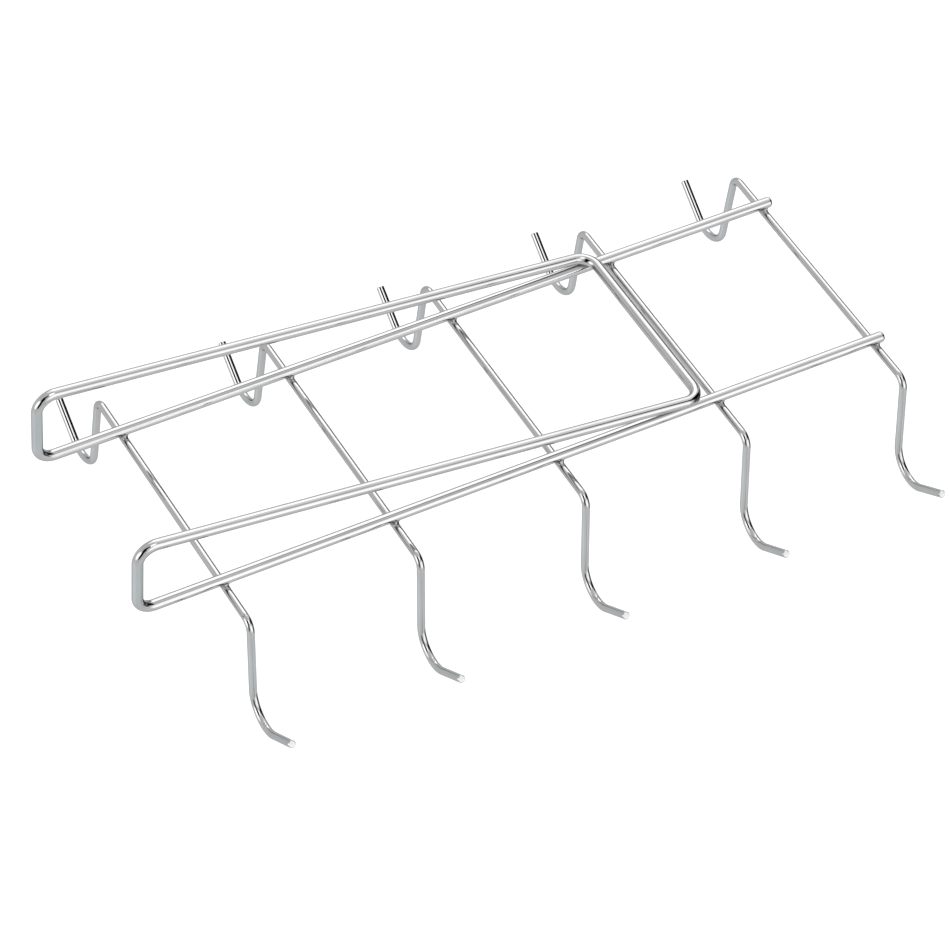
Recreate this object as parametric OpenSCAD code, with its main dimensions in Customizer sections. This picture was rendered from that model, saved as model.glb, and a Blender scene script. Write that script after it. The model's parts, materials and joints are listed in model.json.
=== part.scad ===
// Slide-on shelf hook rack, bent from chrome-plated round wire.
// X runs along the rails from the closed end to the open end, Y across them, Z up.
// The origin is on the surface the hooks stand on, under the middle of the rack.

/* [Rails] */
// Distance between the two rails, centre to centre
rail_spacing = 95; // [80:1:120]
// How far each rail runs on past the centre of the last hook wire
rail_overhang = 4; // [3:0.5:15]
// Diameter of the wire of the rails and the clamp loop
frame_wire_d = 5; // [4:0.25:6]
// Radius of the bends at the closed end, to the wire's centre line
end_bend_r = 8; // [6:0.5:12]

/* [Clamp loop] */
// Height of the loop above the rails at the closed end, centre to centre
clamp_height = 37.5; // [32:0.5:50]
// Reach of the loop from the closed end to its cross part
clamp_reach = 270; // [180:1:290]
// How much wider than the rails the loop is at its cross part, on each side
clamp_flare = 1.3; // [0:0.1:3]
// Radius of the two corners of the loop, to the wire's centre line
loop_bend_r = 8; // [6:0.5:12]

/* [Hook wires] */
// Diameter of the hook wires
hook_wire_d = 3.5; // [2.5:0.25:4.5]
// Distance from the closed end to the first hook wire
first_hook = 40; // [25:1:60]
// Distance between neighbouring hook wires
hook_pitch = 80; // [70:1:90]
// How far a hook wire runs on past the rail before it turns down
hook_reach = 24; // [18:0.5:35]
// Radius of the bend at the shoulder, to the wire's centre line
shoulder_bend_r = 5.5; // [4:0.5:8]
// Straight length of the shank
shank_length = 32.5; // [20:0.5:60]
// How far the shank leans outward, in degrees
shank_lean = 6; // [0:0.5:10]
// Radius of the bend that carries the load, to the wire's centre line
hook_bend_r = 12.5; // [8:0.5:20]
// Slope of the tip above level, in degrees
tip_slope = 35; // [15:1:50]
// Straight length of the tip
tip_length = 19; // [10:0.5:30]

/* [Hidden] */
hook_wires = 5;
round_sides = 40;
bend_sides = 80;
bead_sides = 96;
frame_r = frame_wire_d / 2;
hook_r = hook_wire_d / 2;

// The welds sink each hook wire a little into the rails above it
weld_sink = 0.3;
weld_bead_r = 0.6 * hook_wire_d;
weld_bead_h = 1.5;
weld_bead_chamfer = 0.3;

// Cut ends of the wires
rail_end_chamfer = 0.9;
tip_end_chamfer = 0.35;
end_lap = 0.02;

// Bending draws the wire down by a hair, and each straight laps a little into its bends
bend_thinning = 0.005;
bend_lap = 0.1;

// Small gaps that keep the springing loop free of the rails
loop_gap = 0.1;
flex_gap = 0.05;

// Plan layout
rails_length = first_hook + (hook_wires - 1) * hook_pitch + rail_overhang;
closed_x = (frame_r - rails_length) / 2;
open_x = closed_x + rails_length;
rail_y = rail_spacing / 2;
loop_x = closed_x + clamp_reach;
loop_y = rail_y + clamp_flare;
shoulder_y = rail_y + hook_reach;

// Heights, built up from the lowest point of the hooks
shoulder_turn = 90 - shank_lean;
hook_turn = 90 + tip_slope - shank_lean;
shoulder_cut = shoulder_bend_r * tan(shoulder_turn / 2);
hook_cut = hook_bend_r * tan(hook_turn / 2);
shank_run = shoulder_cut + shank_length;
hook_z = hook_r + hook_bend_r * (1 - sin(shank_lean)) + shank_run * cos(shank_lean);
rail_z = hook_z + hook_r + frame_r - weld_sink;
top_z = rail_z + clamp_height;
flex_z = rail_z + clamp_height / 2;

// Lowest height above the rails at which the loop's corners still clear them
touch = frame_wire_d + loop_gap;
loop_fall = (clamp_height - touch) / clamp_reach;
function corner_side(t) = clamp_flare - loop_bend_r * (1 - cos(t));
function corner_rise(t) = loop_fall * loop_bend_r * (1 - sin(t));
loop_rise = max([for (t = [0:2:90]) if (abs(corner_side(t)) < touch)
    sqrt(touch ^ 2 - corner_side(t) ^ 2) - corner_rise(t)]);
loop_z = rail_z + loop_rise;

chrome = [0.80, 0.81, 0.82];
hook_chrome = [0.76, 0.77, 0.79];
weld_chrome = [0.66, 0.67, 0.69];

function unit(v) = v / norm(v);
function turn_at(a, b, c) = acos(unit(b - a) * unit(c - b));
function cut_at(a, b, c, bend_r) = bend_r * tan(turn_at(a, b, c) / 2);
function hook_x(i) = closed_x + first_hook + (i - 1) * hook_pitch;

// Straight round wire from one point to another
module straight(a, b, r, sides = round_sides) {
    d = b - a;
    translate(a)
        rotate([0, acos(d.z / norm(d)), atan2(d.y, d.x)])
            cylinder(h = norm(d), r = r, $fn = sides);
}

// Narrowing rim of a wire that comes from a and is cut off at b
module chamfered_end(a, b, r, chamfer) {
    d = unit(b - a);
    translate(b - (chamfer + end_lap) * d)
        rotate([0, acos(d.z), atan2(d.y, d.x)])
            cylinder(
                h = chamfer + end_lap,
                r1 = r - bend_thinning,
                r2 = r - chamfer,
                $fn = round_sides
            );
}

// Round bend at b between the straights from a and to c
module bend(a, b, c, bend_r, r) {
    u = unit(b - a);
    v = unit(c - b);
    inward = unit(v - u * (u * v));
    out = -inward;
    side = cross(out, u);
    centre = b - u * cut_at(a, b, c, bend_r) + inward * bend_r;
    multmatrix([
        [out.x, u.x, side.x, centre.x],
        [out.y, u.y, side.y, centre.y],
        [out.z, u.z, side.z, centre.z],
        [0, 0, 0, 1]
    ])
        rotate_extrude(angle = turn_at(a, b, c), $fn = bend_sides)
            translate([bend_r, 0])
                circle(r = r - bend_thinning, $fn = round_sides);
}

// Bent wire through the points p, with one bend radius for each inner point
module wire(p, bend_radii, r) {
    last = len(p) - 1;
    cuts = [for (i = [0:last]) (i == 0 || i == last) ? 0
        : cut_at(p[i - 1], p[i], p[i + 1], bend_radii[i - 1]) - bend_lap];
    for (i = [0:last - 1]) {
        along = unit(p[i + 1] - p[i]);
        straight(p[i] + along * cuts[i], p[i + 1] - along * cuts[i + 1], r);
    }
    for (i = [1:last - 1]) {
        bend(p[i - 1], p[i], p[i + 1], bend_radii[i - 1], r);
    }
}

// Round on the flex axis, half way up the wire's upright on one side
module flex_round(side, gap) {
    translate([closed_x, side * rail_y, flex_z])
        rotate([90, 0, 0])
            cylinder(h = 2 * frame_wire_d, r = frame_r + gap, center = true, $fn = bead_sides);
}

// One rail: free end, straight run, bend up and the lower half of the upright
module rail(side) {
    y = side * rail_y;
    free_end = [open_x, y, rail_z];
    rim = free_end - [rail_end_chamfer, 0, 0];
    flex_centre = [closed_x, y, flex_z];
    chamfered_end(rim, free_end, frame_r, rail_end_chamfer);
    wire([rim, [closed_x, y, rail_z], flex_centre], [end_bend_r], frame_r);
    intersection() {
        straight(flex_centre, flex_centre + [0, 0, frame_wire_d], frame_r);
        flex_round(side, 0);
    }
}

// Straight stretch of a rail, used to shape what is welded to it
module rail_line(side) {
    from = [closed_x, side * rail_y, rail_z];
    straight(from, from + [rails_length, 0, 0], frame_r, bead_sides);
}

module clamp_loop_wire() {
    difference() {
        wire(
            [
                [closed_x, -rail_y, flex_z],
                [closed_x, -rail_y, top_z],
                [loop_x, -loop_y, loop_z],
                [loop_x, loop_y, loop_z],
                [closed_x, rail_y, top_z],
                [closed_x, rail_y, flex_z]
            ],
            [end_bend_r, loop_bend_r, loop_bend_r, end_bend_r],
            frame_r
        );
        flex_round(-1, flex_gap);
        flex_round(1, flex_gap);
    }
}

// Corner points of one hook, from the shoulder to the end of the tip
function shoulder_point(x, side) = [x, side * shoulder_y, hook_z];
function hook_point(x, side) = shoulder_point(x, side)
    + (shank_run + hook_cut) * [0, side * sin(shank_lean), -cos(shank_lean)];
function tip_direction(side) = [0, side * cos(tip_slope), sin(tip_slope)];
function tip_point(x, side) = hook_point(x, side) + (hook_cut + tip_length) * tip_direction(side);

// One hook wire: a straight run under both rails with a hook at each end
module hook_wire(i) {
    x = hook_x(i);
    rim_rear = tip_point(x, 1) - tip_end_chamfer * tip_direction(1);
    rim_front = tip_point(x, -1) - tip_end_chamfer * tip_direction(-1);
    difference() {
        wire(
            [
                rim_rear, hook_point(x, 1), shoulder_point(x, 1),
                shoulder_point(x, -1), hook_point(x, -1), rim_front
            ],
            [hook_bend_r, shoulder_bend_r, shoulder_bend_r, hook_bend_r],
            hook_r
        );
        rail_line(-1);
        rail_line(1);
    }
    chamfered_end(rim_rear, tip_point(x, 1), hook_r, tip_end_chamfer);
    chamfered_end(rim_front, tip_point(x, -1), hook_r, tip_end_chamfer);
}

// Round bead that fills the corner all round one crossing
module weld(i, side) {
    x = hook_x(i);
    straight_h = weld_bead_h - 2 * weld_bead_chamfer;
    bead_z = rail_z - frame_r + weld_sink / 2 - weld_bead_h / 2;
    small_r = weld_bead_r - weld_bead_chamfer;
    difference() {
        translate([x, side * rail_y, bead_z]) {
            cylinder(h = weld_bead_chamfer, r1 = small_r, r2 = weld_bead_r, $fn = bead_sides);
            translate([0, 0, weld_bead_chamfer])
                cylinder(h = straight_h, r = weld_bead_r, $fn = bead_sides);
            translate([0, 0, weld_bead_chamfer + straight_h])
                cylinder(h = weld_bead_chamfer, r1 = weld_bead_r, r2 = small_r, $fn = bead_sides);
        }
        rail_line(side);
        straight([x, -shoulder_y, hook_z], [x, shoulder_y, hook_z], hook_r, bead_sides);
    }
}

module rail_front() {
    color(chrome) rail(-1);
}
module rail_rear() {
    color(chrome) rail(1);
}
module clamp_loop() {
    color(chrome) clamp_loop_wire();
}
module hook_wire_1() {
    color(hook_chrome) hook_wire(1);
}
module hook_wire_2() {
    color(hook_chrome) hook_wire(2);
}
module hook_wire_3() {
    color(hook_chrome) hook_wire(3);
}
module hook_wire_4() {
    color(hook_chrome) hook_wire(4);
}
module hook_wire_5() {
    color(hook_chrome) hook_wire(5);
}
module weld_front_1() {
    color(weld_chrome) weld(1, -1);
}
module weld_front_2() {
    color(weld_chrome) weld(2, -1);
}
module weld_front_3() {
    color(weld_chrome) weld(3, -1);
}
module weld_front_4() {
    color(weld_chrome) weld(4, -1);
}
module weld_front_5() {
    color(weld_chrome) weld(5, -1);
}
module weld_rear_1() {
    color(weld_chrome) weld(1, 1);
}
module weld_rear_2() {
    color(weld_chrome) weld(2, 1);
}
module weld_rear_3() {
    color(weld_chrome) weld(3, 1);
}
module weld_rear_4() {
    color(weld_chrome) weld(4, 1);
}
module weld_rear_5() {
    color(weld_chrome) weld(5, 1);
}

rail_front();
rail_rear();
clamp_loop();
hook_wire_1();
hook_wire_2();
hook_wire_3();
hook_wire_4();
hook_wire_5();
weld_front_1();
weld_front_2();
weld_front_3();
weld_front_4();
weld_front_5();
weld_rear_1();
weld_rear_2();
weld_rear_3();
weld_rear_4();
weld_rear_5();
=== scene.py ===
import json
import math
from collections import namedtuple

import bpy
import numpy as np
from mathutils import Matrix, Vector


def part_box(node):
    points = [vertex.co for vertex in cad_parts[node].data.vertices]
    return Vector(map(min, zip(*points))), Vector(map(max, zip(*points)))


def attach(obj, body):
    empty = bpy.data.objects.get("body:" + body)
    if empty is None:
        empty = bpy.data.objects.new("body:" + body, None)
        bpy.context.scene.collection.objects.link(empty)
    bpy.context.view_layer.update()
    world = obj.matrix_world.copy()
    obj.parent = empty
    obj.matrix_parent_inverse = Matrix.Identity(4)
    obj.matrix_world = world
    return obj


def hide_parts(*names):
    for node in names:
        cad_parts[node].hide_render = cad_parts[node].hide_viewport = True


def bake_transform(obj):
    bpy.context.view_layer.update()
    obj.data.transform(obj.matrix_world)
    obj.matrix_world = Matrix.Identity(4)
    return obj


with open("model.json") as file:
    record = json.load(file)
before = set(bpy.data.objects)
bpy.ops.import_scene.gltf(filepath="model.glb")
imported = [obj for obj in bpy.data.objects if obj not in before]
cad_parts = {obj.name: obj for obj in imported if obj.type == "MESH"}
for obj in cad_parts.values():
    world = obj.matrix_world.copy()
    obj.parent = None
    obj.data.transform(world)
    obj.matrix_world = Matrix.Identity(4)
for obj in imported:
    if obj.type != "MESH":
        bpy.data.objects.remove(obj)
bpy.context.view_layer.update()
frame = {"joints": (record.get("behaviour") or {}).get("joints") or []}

MM = 0.001

# ---------------------------------------------------------------- measures of the object

# frame wire, in metres
BEND_R = 8 * MM              # every bend of the frame wire
CLAMP_HEIGHT = 37.5 * MM     # from the rails to the top of the uprights
CLAMP_FLARE = 1.3 * MM       # how much the loop widens on each side
RIM_R = 1.5 * MM             # rounded rim of the rail ends
FLEX_HALF = 4.2 * MM         # half the height of the upright that bends when the clamp opens

# hook wires, in metres and degrees
SHOULDER_R = 5.5 * MM
HOOK_R = 12.5 * MM
HOOK_REACH = 24 * MM         # from the rail to the shoulder
SHANK = 32.5 * MM            # straight part of the shank
SHANK_LEAN = 6
TIP = 19 * MM                # straight part of the tip
TIP_SLOPE = 35
TIP_CHAMFER = 0.35 * MM
HOOKS = (1, 2, 3, 4, 5)

# weld beads, in metres and as shares of other measures
BEAD_SPREAD = 3.7 * MM       # how far a bead runs out along the hook wire
BEAD_FOOT_WIDTH = 0.95       # half the width of its foot, of the hook wire's radius
BEAD_TOP_LENGTH = 0.8        # half the length of its top, of the spread
BEAD_TOP_WIDTH = 0.93        # half the width of its top, of the frame wire's radius
BEAD_WAIST = 0.15            # how much of its width a bead loses at half height
BEAD_SINK = 0.12 * MM        # how deep its rims sit in the wires
BEAD_SQUARE = 0.72           # 1 makes its outline an oval, smaller values squarer
BEAD_WAVES = ((3, 0.05, 1), (7, 0.035, 2.3))   # count round the outline, height and shift
BEAD_PHASE = 1.7             # shift of the waves from one hook wire to the next

# fineness of the meshes, in metres and degrees
WIRE_SIDES = 48
STRAIGHT_STEP = 20 * MM      # about how far apart the rings of a straight wire are
FINE_STEP = 1.5 * MM         # the same on the uprights, where the wire bends with the clamp
FRAME_ARC_STEP = 2.5
HOOK_ARC_STEP = 3
FEWEST_ARC_STEPS = 4
CHAMFER_STEPS, RIM_STEPS = 3, 8
END_INNER = 0.97             # an end face has a second ring at this share of its radius
SHARP_ANGLE = 30
BEAD_TURNS, BEAD_LEVELS = 72, 14

# what counts as the same place, in metres, the same direction and an upright direction
SAME_PLACE = 1e-7
SAME_DIRECTION = 1e-6
UPRIGHT = 0.999

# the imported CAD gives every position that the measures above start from
rail_lo, rail_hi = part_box("rail_front")
loop_lo, loop_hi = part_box("clamp_loop")
frame_r = (rail_hi.y - rail_lo.y) / 2
rail_y = -(rail_hi.y + rail_lo.y) / 2
rail_z = rail_lo.z + frame_r
closed_x = rail_lo.x + frame_r
open_x = rail_hi.x
top_z = rail_z + CLAMP_HEIGHT
loop_x = loop_hi.x - frame_r
loop_y = rail_y + CLAMP_FLARE
loop_z = loop_lo.z + frame_r
flex_z = frame["joints"][0]["pos_m"][2]        # height of the clamp's hinge


# ---------------------------------------------------------------- wires

# one ring's place on a wire: distance along it, centre, direction and two cross directions
Station = namedtuple("Station", "along centre direction side up")

CUT = ("cut", 0.0)           # a flat end, where a wire meets its next piece


def bent_path(corners, radii, arc_step, straight_step):
    """Centre line of a wire through its corners, with bends of the radii: points and
    directions. The arc step is in degrees."""
    corners = [Vector(c) for c in corners]
    points, directions = [], []

    def run(a, b):
        """Adds a straight stretch."""
        d = (b - a).normalized()
        n = max(1, round((b - a).length / straight_step))
        for k in range(n + 1):
            points.append(a.lerp(b, k / n))
            directions.append(d)

    start = corners[0]
    for before, corner, after, r in zip(corners, corners[1:], corners[2:], radii):
        d_in = (corner - before).normalized()
        d_out = (after - corner).normalized()
        turn = d_in.angle(d_out)
        cut = r * math.tan(turn / 2)
        bend_start = corner - d_in * cut
        run(start, bend_start)
        side = (d_out - d_in * d_out.dot(d_in)).normalized()
        n = max(FEWEST_ARC_STEPS, round(turn / math.radians(arc_step)))
        for k in range(1, n):
            t = turn * k / n
            points.append(bend_start + d_in * (r * math.sin(t)) + side * (r * (1 - math.cos(t))))
            directions.append(d_in * math.cos(t) + side * math.sin(t))
        start = corner + d_out * cut
    run(start, corners[-1])
    return points, directions


def stations_along(points, directions, first_side):
    """A station at each point, with cross directions that don't twist about the wire."""
    stations = []
    along = 0.0
    side = Vector(first_side)
    last = None
    for point, d in zip(points, directions):
        if last is not None:
            step = (point - last).length
            if step < SAME_PLACE:
                continue
            along += step
        side = (side - d * side.dot(d)).normalized()
        stations.append(Station(along, point, d, side.copy(), d.cross(side)))
        last = point
    return stations


def split_at(stations, height):
    """The stations with one more on each upright, at a height."""
    out = [stations[0]]
    for a, b in zip(stations, stations[1:]):
        za, zb = a.centre.z, b.centre.z
        if abs(b.direction.z) > UPRIGHT and (za - height) * (zb - height) < 0:
            t = (height - za) / (zb - za)
            out.append(b._replace(along=a.along + (b.along - a.along) * t,
                                  centre=a.centre.lerp(b.centre, t)))
        out.append(b)
    return out


def places_at(stations, height):
    """Where in the list the uprights' stations at a height are."""
    return [i for i, s in enumerate(stations)
            if abs(s.direction.z) > UPRIGHT and abs(s.centre.z - height) < SAME_PLACE]


def thinned(stations):
    """The stations, fewer of them where the wire is straight."""
    out = [stations[0]]
    for a, b in zip(stations[1:], stations[2:]):
        turned = (a.direction - out[-1].direction).length > SAME_DIRECTION
        turns = (b.direction - a.direction).length > SAME_DIRECTION
        if turned or turns or a.along - out[-1].along > STRAIGHT_STEP:
            out.append(a)
    out.append(stations[-1])
    return out


def end_profile(end, radius):
    """Depth behind the end face and radius of each ring of a shaped end, from the face in.
    A cut end has none."""
    shape, size = end
    if shape == "chamfer":
        shares = [k / CHAMFER_STEPS for k in range(CHAMFER_STEPS + 1)]
        return [(size * share, radius - size * (1 - share)) for share in shares]
    if shape == "round":
        angles = [math.pi / 2 * k / RIM_STEPS for k in range(RIM_STEPS + 1)]
        return [(size * (1 - math.cos(a)), radius - size * (1 - math.sin(a))) for a in angles]
    return []


def add_mesh(name, verts, faces):
    """A smooth mesh object in the scene."""
    mesh = bpy.data.meshes.new(name)
    mesh.from_pydata([tuple(v) for v in verts], [], faces)
    mesh.update()
    mesh.polygons.foreach_set("use_smooth", [True] * len(faces))
    piece = bpy.data.objects.new(name, mesh)
    bpy.context.scene.collection.objects.link(piece)
    return piece


def tube(name, stations, radius, start_end, finish_end):
    """Round wire through the stations. An end is CUT or ("chamfer" or "round", size). The
    point attribute "wire" says where each corner would be if the wire were straight, and the
    end faces have the second material."""
    verts, straight, faces = [], [], []

    def ring(station, r, shift=0.0):
        """Adds a ring, shifted along the wire from its station."""
        first = len(verts)
        centre = station.centre + station.direction * shift
        for k in range(WIRE_SIDES):
            t = 2 * math.pi * k / WIRE_SIDES
            c, s = r * math.cos(t), r * math.sin(t)
            verts.append(centre + station.side * c + station.up * s)
            straight.append((station.along + shift, c, s))
        return first

    def end_face(rim, station, flip):
        """Closes an end with a fine inner ring and a centre, so that it shades flat."""
        inner = len(verts)
        for k in range(WIRE_SIDES):
            verts.append(station.centre + (verts[rim + k] - station.centre) * END_INNER)
            straight.append((station.along, *[c * END_INNER for c in straight[rim + k][1:]]))
        middle = len(verts)
        verts.append(station.centre)
        straight.append((station.along, 0, 0))
        for k in range(WIRE_SIDES):
            m = (k + 1) % WIRE_SIDES
            for face in ((rim + k, rim + m, inner + m, inner + k), (inner + k, inner + m, middle)):
                faces.append(face[::-1] if flip else face)

    first, last = stations[0], stations[-1]
    start_size, finish_size = start_end[1], finish_end[1]
    rings = [ring(first, r, depth) for depth, r in end_profile(start_end, radius)]
    for s in stations:
        after_start = s.along - first.along > start_size - SAME_PLACE
        before_finish = last.along - s.along > finish_size - SAME_PLACE
        if after_start and before_finish:
            rings.append(ring(s, radius))
    rings += [ring(last, r, -depth) for depth, r in reversed(end_profile(finish_end, radius))]
    for a, b in zip(rings, rings[1:]):
        for k in range(WIRE_SIDES):
            m = (k + 1) % WIRE_SIDES
            faces.append((a + k, a + m, b + m, b + k))
    side_faces = len(faces)
    end_face(rings[0], first, True)
    end_face(rings[-1], last, False)

    piece = add_mesh(name, verts, faces)
    attribute = piece.data.attributes.new("wire", "FLOAT_VECTOR", "POINT")
    attribute.data.foreach_set("vector", np.array(straight, np.float32).ravel())
    for face in piece.data.polygons[side_faces:]:
        face.material_index = 1
    piece.data.set_sharp_from_angle(angle=math.radians(SHARP_ANGLE))
    return piece


# ---------------------------------------------------------------- materials

# sockets of a Mix node for numbers and for colours: first input, second input and output
MIX_SOCKETS = {"FLOAT": (2, 3, 0), "RGBA": (6, 7, 2)}


class Nodes:
    """Short way to write a node tree."""

    def __init__(self, tree):
        self.tree = tree

    def add(self, kind, inputs=None, **settings):
        """A node with its settings, and its inputs linked or given a value."""
        node = self.tree.nodes.new(kind)
        for k, v in settings.items():
            setattr(node, k, v)
        for k, v in (inputs or {}).items():
            if isinstance(v, bpy.types.NodeSocket):
                self.tree.links.new(v, node.inputs[k])
            else:
                node.inputs[k].default_value = v
        return node

    def link(self, source, target):
        self.tree.links.new(source, target)

    def maths(self, operation, a, b):
        return self.add("ShaderNodeMath", {0: a, 1: b}, operation=operation).outputs[0]

    def mix(self, kind, factor, a, b):
        """a where the factor is 0, b where it is 1."""
        first, second, result = MIX_SOCKETS[kind]
        node = self.add("ShaderNodeMix", {0: factor, first: a, second: b}, data_type=kind)
        return node.outputs[result]

    def ramp(self, value, start, end, low, high):
        """Low up to the start, high from the end on, smooth between them."""
        return self.add("ShaderNodeMapRange", {
            "Value": value, "From Min": start, "From Max": end,
            "To Min": low, "To Max": high}, interpolation_type="SMOOTHSTEP").outputs[0]

    def scaled(self, vector, scale):
        return self.add("ShaderNodeMapping", {"Vector": vector, "Scale": scale}).outputs[0]

    def noise(self, vector, scale, detail, roughness):
        return self.add("ShaderNodeTexNoise", {
            "Vector": vector, "Scale": scale, "Detail": detail, "Roughness": roughness}).outputs[0]

    def bump(self, height, strength, depth, below=None):
        """Relief of a depth in metres, on top of the relief below it."""
        inputs = {"Strength": strength, "Distance": depth, "Height": height}
        if below is not None:
            inputs["Normal"] = below
        return self.add("ShaderNodeBump", inputs).outputs[0]


def new_material(name):
    """A material, its nodes and its shader."""
    material = bpy.data.materials.new(name)
    material.use_nodes = True
    return material, Nodes(material.node_tree), material.node_tree.nodes["Principled BSDF"]


# noise of the plate: scale per metre, multiplied by the stretch along and across the wire,
# then detail and roughness
LINES, LINE_STRETCH = (5200, 3, 0.6), (12, 1, 1)
SWELL, SWELL_STRETCH = (320, 2, 0.45), (0.45, 1, 1)
SMUDGES, SMUDGE_STRETCH = (75, 4, 0.6), (0.5, 1, 1)
SPECKS = (2600, 1, 0.5)
LUMPS = (1100, 2, 0.5)
SPECK_RIM = (0.78, 0.84)     # noise values where a speck starts and where it is full
SMUDGE_DULL = (0.35, 0.72)   # the same for a smudge's roughness
SMUDGE_DARK = (0.3, 0.75)    # and for its colour

# strength and depth in metres of the relief
SWELL_RELIEF = (0.16, 0.12 * MM)
LINE_RELIEF = (0.05, 0.02 * MM)
SPECK_RELIEF = (0.12, 0.04 * MM)
LUMP_DEPTH = 0.3 * MM

# brightness of the plate, its smudges and its specks, and then hue, roughness and edges
PLATE_LIGHT, PLATE_SMUDGE, PLATE_SPECK = 0.43, 0.39, 0.27
SPECK_SHARE = 0.5            # how much of its own brightness a speck shows
PLATE_HUE = (0.985, 1.01, 1.012)
PLATE_GLOSS, PLATE_HAZE, SPECK_HAZE = 0.02, 0.06, 0.2
PLATE_EDGE = 0.65


def chrome(name, on_wire=True, dull=0.0, wave=1.0, shade=1.0, lumps=0.0):
    """Bright nickel-chromium plate. Dull adds to its roughness, wave and shade multiply its
    swell and brightness, and lumps is the strength of a coarser relief."""
    material, nodes, shader = new_material(name)

    def plate(level):
        return (*[level * shade * hue for hue in PLATE_HUE], 1)

    if on_wire:
        place = nodes.add("ShaderNodeAttribute", attribute_name="wire").outputs["Vector"]
    else:
        place = nodes.add("ShaderNodeTexCoord").outputs["Object"]

    lines = nodes.noise(nodes.scaled(place, LINE_STRETCH), *LINES)
    swell = nodes.noise(nodes.scaled(place, SWELL_STRETCH), *SWELL)
    specks = nodes.ramp(nodes.noise(place, *SPECKS), *SPECK_RIM, 0, 1)
    smudge = nodes.noise(nodes.scaled(place, SMUDGE_STRETCH), *SMUDGES)

    swell_strength, swell_depth = SWELL_RELIEF
    relief = nodes.bump(swell, swell_strength * wave, swell_depth)
    relief = nodes.bump(lines, *LINE_RELIEF, relief)
    relief = nodes.bump(specks, *SPECK_RELIEF, relief)
    if lumps:
        relief = nodes.bump(nodes.noise(place, *LUMPS), lumps, LUMP_DEPTH, relief)
    nodes.link(relief, shader.inputs["Normal"])

    rough = nodes.ramp(smudge, *SMUDGE_DULL, PLATE_GLOSS + dull, PLATE_HAZE + dull)
    rough = nodes.maths("ADD", rough, nodes.maths("MULTIPLY", specks, SPECK_HAZE))
    nodes.link(rough, shader.inputs["Roughness"])

    smudged = nodes.ramp(smudge, *SMUDGE_DARK, 0, 1)
    colour = nodes.mix("RGBA", smudged, plate(PLATE_LIGHT), plate(PLATE_SMUDGE))
    specked = nodes.maths("MULTIPLY", specks, SPECK_SHARE)
    colour = nodes.mix("RGBA", specked, colour, plate(PLATE_SPECK))
    nodes.link(colour, shader.inputs["Base Color"])
    shader.inputs["Metallic"].default_value = 1.0
    shader.inputs["Specular Tint"].default_value = (PLATE_EDGE, PLATE_EDGE, PLATE_EDGE, 1)
    return material


frame_chrome = chrome("chrome_frame_wire")
hook_chrome = chrome("chrome_hook_wire")
cut_chrome = chrome("chrome_cut_end", dull=0.12, wave=3.0, shade=0.9, lumps=0.6)
# the weld's plate is darker than the wires' (shade 0.6): painted shade and dark reflections of the
# junction between the rail and the hook wire, along with the weld's own darker scale
weld_chrome = chrome("chrome_weld", on_wire=False, dull=0.04, wave=3.0, shade=0.6, lumps=1.0)


def finish_wire(piece, material):
    """Gives a wire its plate, and its end faces the plate of a cut end."""
    piece.data.materials.append(material)
    piece.data.materials.append(cut_chrome)


# ---------------------------------------------------------------- frame wire

def frame_wire_stations():
    """The whole frame wire, from the front rail's open end round to the rear rail's."""
    corners = [
        (open_x, -rail_y, rail_z), (closed_x, -rail_y, rail_z), (closed_x, -rail_y, top_z),
        (loop_x, -loop_y, loop_z), (loop_x, loop_y, loop_z),
        (closed_x, rail_y, top_z), (closed_x, rail_y, rail_z), (open_x, rail_y, rail_z)]
    bends = [BEND_R] * (len(corners) - 2)
    points, directions = bent_path(corners, bends, FRAME_ARC_STEP, FINE_STEP)
    return stations_along(points, directions, (0, 1, 0))


low_z, high_z = flex_z - FLEX_HALF, flex_z + FLEX_HALF
stations = split_at(split_at(frame_wire_stations(), low_z), high_z)
front_low, rear_low = places_at(stations, low_z)
front_high, rear_high = places_at(stations, high_z)
rim = ("round", RIM_R)

rail_front = tube("rail_wire_front", thinned(stations[:front_low + 1]), frame_r, rim, CUT)
rail_rear = tube("rail_wire_rear", thinned(stations[rear_low:]), frame_r, CUT, rim)
loop = tube("clamp_loop_wire", thinned(stations[front_high:rear_high + 1]), frame_r, CUT, CUT)
upright_front = tube("upright_wire_front", stations[front_low:front_high + 1],
                     frame_r, CUT, CUT)
upright_rear = tube("upright_wire_rear", stations[rear_high:rear_low + 1], frame_r, CUT, CUT)
for piece in (rail_front, rail_rear, loop, upright_front, upright_rear):
    finish_wire(piece, frame_chrome)

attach(rail_front, "rack")
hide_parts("rail_front")
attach(rail_rear, "rack")
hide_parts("rail_rear")
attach(loop, "clamp")
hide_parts("clamp_loop")
for piece, y in ((upright_front, -rail_y), (upright_rear, rail_y)):
    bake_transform(piece)


# ---------------------------------------------------------------- hook wires

def polar(start, angle, length):
    """A point of a hook wire's plane, y and z, at an angle above the outward direction."""
    a = math.radians(angle)
    return (start[0] + length * math.cos(a), start[1] + length * math.sin(a))


def hook_corners(hook_z):
    """Corners of one side of a hook wire, y and z, from the shoulder to the tip's end."""
    shoulder_cut = SHOULDER_R * math.tan(math.radians(90 - SHANK_LEAN) / 2)
    hook_cut = HOOK_R * math.tan(math.radians(90 - SHANK_LEAN + TIP_SLOPE) / 2)
    shoulder = (rail_y + HOOK_REACH, hook_z)
    bottom = polar(shoulder, -(90 - SHANK_LEAN), shoulder_cut + SHANK + hook_cut)
    return [shoulder, bottom, polar(bottom, TIP_SLOPE, hook_cut + TIP)]


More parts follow.
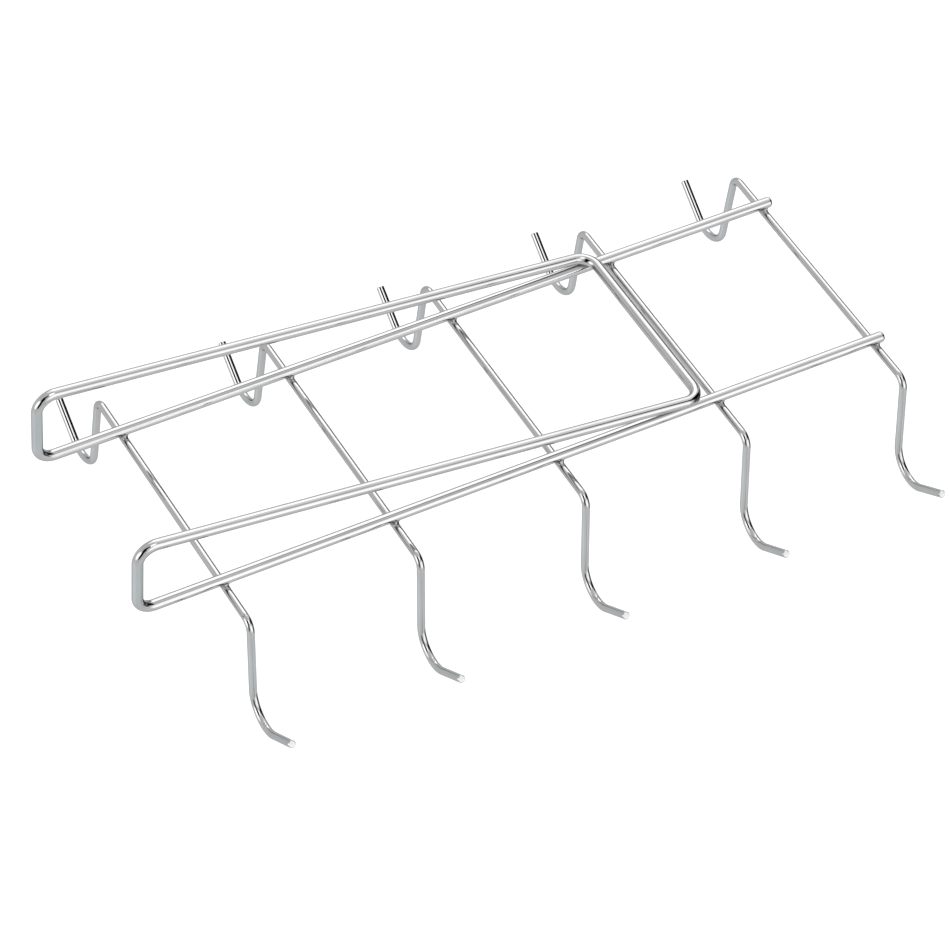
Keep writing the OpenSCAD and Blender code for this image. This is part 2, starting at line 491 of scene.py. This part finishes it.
def hook_wire(name, x, hook_z, hook_r):
    """A hook wire in the plane at x, from the front tip to the rear tip."""
    side = hook_corners(hook_z)
    corners = [(x, -y, z) for y, z in reversed(side)] + [(x, y, z) for y, z in side]
    bends = [HOOK_R, SHOULDER_R, SHOULDER_R, HOOK_R]
    points, directions = bent_path(corners, bends, HOOK_ARC_STEP, STRAIGHT_STEP)
    tip_end = ("chamfer", TIP_CHAMFER)
    return tube(name, stations_along(points, directions, (1, 0, 0)), hook_r, tip_end, tip_end)


for i in HOOKS:
    node = f"hook_wire_{i}"
    lo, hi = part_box(node)
    hook_r = (hi.x - lo.x) / 2
    piece = hook_wire(f"double_hook_{i}", (lo.x + hi.x) / 2, hi.z - hook_r, hook_r)
    finish_wire(piece, hook_chrome)
    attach(piece, "rack")
    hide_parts(node)


# ---------------------------------------------------------------- welds

def squarish(t):
    """Cosine and sine of an outline between a circle and a square."""
    c, s = math.cos(t), math.sin(t)
    return math.copysign(abs(c) ** BEAD_SQUARE, c), math.copysign(abs(s) ** BEAD_SQUARE, s)


def weld_bead(name, x, y, hook_z, hook_r, phase):
    """The bead squeezed out between a rail, above, and a hook wire, below. Its foot spreads
    along the hook wire and its top along the rail. The phase makes each outline a little
    different."""
    foot = (hook_r * BEAD_FOOT_WIDTH, BEAD_SPREAD)
    top = (BEAD_SPREAD * BEAD_TOP_LENGTH, frame_r * BEAD_TOP_WIDTH)

    def rail_bottom(across):
        return rail_z - math.sqrt(frame_r ** 2 - across ** 2)

    def hook_top(across):
        return hook_z + math.sqrt(hook_r ** 2 - across ** 2)

    verts, faces = [], []
    for level in range(BEAD_LEVELS + 1):
        h = level / BEAD_LEVELS
        waist = 1 - BEAD_WAIST * math.sin(math.pi * h)
        for k in range(BEAD_TURNS):
            t = 2 * math.pi * k / BEAD_TURNS
            flow = 1 + sum(size * math.sin(count * t + shift * phase)
                           for count, size, shift in BEAD_WAVES)
            c, s = squarish(t)
            low = (foot[0] * c, foot[1] * flow * s)
            high = (top[0] * flow * c, top[1] * s)
            px = (low[0] + (high[0] - low[0]) * h) * waist
            py = (low[1] + (high[1] - low[1]) * h) * waist
            foot_z = hook_top(low[0]) - BEAD_SINK
            head_z = rail_bottom(high[1]) + BEAD_SINK
            verts.append((x + px, y + py, foot_z + (head_z - foot_z) * h))
    foot_middle, top_middle = len(verts), len(verts) + 1
    verts.append((x, y, hook_top(0) - 2 * BEAD_SINK))
    verts.append((x, y, rail_bottom(0) + 2 * BEAD_SINK))
    for level in range(BEAD_LEVELS):
        a, b = level * BEAD_TURNS, (level + 1) * BEAD_TURNS
        for k in range(BEAD_TURNS):
            m = (k + 1) % BEAD_TURNS
            faces.append((a + k, a + m, b + m, b + k))
    top_ring = BEAD_LEVELS * BEAD_TURNS
    for k in range(BEAD_TURNS):
        m = (k + 1) % BEAD_TURNS
        faces.append((m, k, foot_middle))
        faces.append((top_ring + k, top_ring + m, top_middle))
    return add_mesh(name, verts, faces)


for i in HOOKS:
    hook_lo, hook_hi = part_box(f"hook_wire_{i}")
    hook_r = (hook_hi.x - hook_lo.x) / 2
    for side_name in ("front", "rear"):
        node = f"weld_{side_name}_{i}"
        lo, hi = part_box(node)
        piece = weld_bead(f"bead_{side_name}_{i}", (lo.x + hi.x) / 2, (lo.y + hi.y) / 2,
                          hook_hi.z - hook_r, hook_r, BEAD_PHASE * i + len(side_name))
        piece.data.materials.append(weld_chrome)
        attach(piece, "rack")
        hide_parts(node)


# ---------------------------------------------------------------- floor

FLOOR_HALF = 12.0            # half the side of the floor, in metres
FLOOR_DROP = 0.2 * MM        # how far it is below the hooks
FLOOR_CORNERS = ((-1, -1), (1, -1), (1, 1), (-1, 1))
PAPER_GREY = 0.3
PAPER_ROUGHNESS = 0.9
PAPER_GLOW = 0.85            # the paper's own light, which makes it the plain white of a studio

floor = add_mesh("floor", [(x * FLOOR_HALF, y * FLOOR_HALF, 0) for x, y in FLOOR_CORNERS],
                 [(0, 1, 2, 3)])
floor.location.z = -FLOOR_DROP
floor.visible_glossy = False     # the wires reflect the studio's own ground, below
paper, _, paper_shader = new_material("paper")
for socket, value in (("Base Color", (PAPER_GREY, PAPER_GREY, PAPER_GREY, 1)),
                      ("Roughness", PAPER_ROUGHNESS),
                      ("Specular IOR Level", 0.0),
                      ("Emission Color", (1, 1, 1, 1)),
                      ("Emission Strength", PAPER_GLOW)):
    paper_shader.inputs[socket].default_value = value
floor.data.materials.append(paper)


# ---------------------------------------------------------------- light

def towards(azimuth, elevation):
    """Direction with azimuth from +Y towards +X and elevation above the floor, in degrees."""
    a, e = math.radians(azimuth), math.radians(elevation)
    return (math.sin(a) * math.cos(e), math.cos(a) * math.cos(e), math.sin(e))


# the studio round the object: brightness and tint by direction
BACKDROP = 1.1               # what the camera sees
SURROUND = 0.99              # what lights the object above the horizon
GROUND_BELOW = 1.12          # the ground under the object
GROUND_FAR = 1.02            # the ground towards the horizon
GROUND_TINT = (0.962, 1, 1.02, 1)
SKY_TINT = (1, 0.968, 0.975, 1)

# where it changes with height, in sines of the elevation: from the ground below to the far
# ground, across the horizon, and into and out of the cool band of the ground
FAR_FROM = (-0.65, -0.25)
HORIZON = (-0.02, 0.05)
COOL_FROM = (-0.86, -0.76)
COOL_TO = (-0.66, -0.54)

# round patches with a soft edge: azimuth, elevation, half angle of the core, half angle where
# the edge ends, and strength. The boxes add light to the surround and the ground, and the gaps
# between them then take some away.
BOXES = [
    (164, 13, 12, 34, 1.45),     # front, low
    (18, 52, 13, 27, 1.0),       # rear, overhead
    (38, 36, 16, 27, 1.25),      # rear, right
    (-93, 13, 13, 26, 2.0),      # left
    (80, 60, 4, 25, 0.55),       # right, overhead
    (176, 61, 9, 18, 2.0),       # front, overhead
    (155, -14, 14, 30, 0.2),     # ground in front
    (-52, 6, 14, 34, 0.1),       # left, further back
    (-85, -40, 12, 34, 0.15),    # ground on the left
]
GAPS = [
    (100, 22, 18, 23, 1.0),      # right, between the front and the rear box
    (84, 0, 12, 18, 1.0),        # right, on the horizon
    (105, -12, 20, 27, 0.9),     # ground on the right
    (119, 38, 9, 12, 1.0),       # right, high
    (53, 17, 9, 15, 0.8),        # rear, right
    (-135, 5, 13, 17, 1.0),      # from the horizon up to the camera
    (-135, 28, 13, 17, 1.0),
    (-125, 46, 13, 18, 1.0),     # beside the camera
    (-146, 56, 8, 12, 0.9),      # above the camera
]
COOL_PATCH = (-5, -33, 22, 36)   # where the ground is cool at the rear

world = bpy.data.worlds.new("studio")
bpy.context.scene.world = world
world.use_nodes = True
world.node_tree.nodes.clear()
studio = Nodes(world.node_tree)
direction = studio.add("ShaderNodeTexCoord").outputs["Generated"]
height = studio.add("ShaderNodeSeparateXYZ", {0: direction}).outputs["Z"]


def patch(azimuth, elevation, core, edge, low, high):
    """A round patch of the studio: high at its core, low outside its soft edge."""
    dot = studio.add("ShaderNodeVectorMath", {0: direction, 1: towards(azimuth, elevation)},
                     operation="DOT_PRODUCT").outputs["Value"]
    return studio.ramp(dot, math.cos(math.radians(edge)), math.cos(math.radians(core)), low, high)


ground = studio.ramp(height, *FAR_FROM, GROUND_BELOW, GROUND_FAR)
light = studio.mix("FLOAT", studio.ramp(height, *HORIZON, 0, 1), ground, SURROUND)
for *place, strength in BOXES:
    light = studio.maths("ADD", light, patch(*place, 0.0, strength))
for *place, strength in GAPS:
    light = studio.maths("MULTIPLY", light, patch(*place, 1.0, 1 - strength))

# the ground is cool in a band all round, which upright wires show, and at the rear
cool_band = studio.maths("MULTIPLY", studio.ramp(height, *COOL_FROM, 0, 1),
                         studio.ramp(height, *COOL_TO, 1, 0))
cool = studio.maths("MAXIMUM", cool_band, patch(*COOL_PATCH, 0.0, 1.0))
tint = studio.mix("RGBA", cool, SKY_TINT, GROUND_TINT)

seen = studio.add("ShaderNodeLightPath").outputs["Is Camera Ray"]
background = studio.add("ShaderNodeBackground", {
    "Color": tint, "Strength": studio.mix("FLOAT", seen, light, BACKDROP)})
studio.add("ShaderNodeOutputWorld", {"Surface": background.outputs[0]})


# ---------------------------------------------------------------- camera

CAMERA_AT = (-0.77844, -1.24881, 1.56314)      # metres
CAMERA_AZIMUTH, CAMERA_ELEVATION = -147.816, 46.607
CAMERA_ROLL = 4.377
LENS, SENSOR = 185.68, 36    # millimetres
CLIP_NEAR, CLIP_FAR = 0.05, 50

camera_data = bpy.data.cameras.new("camera")
camera_data.lens = LENS
camera_data.sensor_width = SENSOR
camera_data.clip_start = CLIP_NEAR
camera_data.clip_end = CLIP_FAR
camera = bpy.data.objects.new("camera", camera_data)
bpy.context.scene.collection.objects.link(camera)
back = Vector(towards(CAMERA_AZIMUTH, CAMERA_ELEVATION))
right = (-back).cross(Vector((0, 0, 1))).normalized()
up = back.cross(right)
roll = math.radians(CAMERA_ROLL)
image_right = right * math.cos(roll) + up * math.sin(roll)
image_up = -right * math.sin(roll) + up * math.cos(roll)
pose = Matrix((image_right, image_up, back)).transposed().to_4x4()
pose.translation = CAMERA_AT
camera.matrix_world = pose
bpy.context.scene.camera = camera

view = bpy.context.scene.view_settings
view.view_transform = "Standard"
view.look = "None"
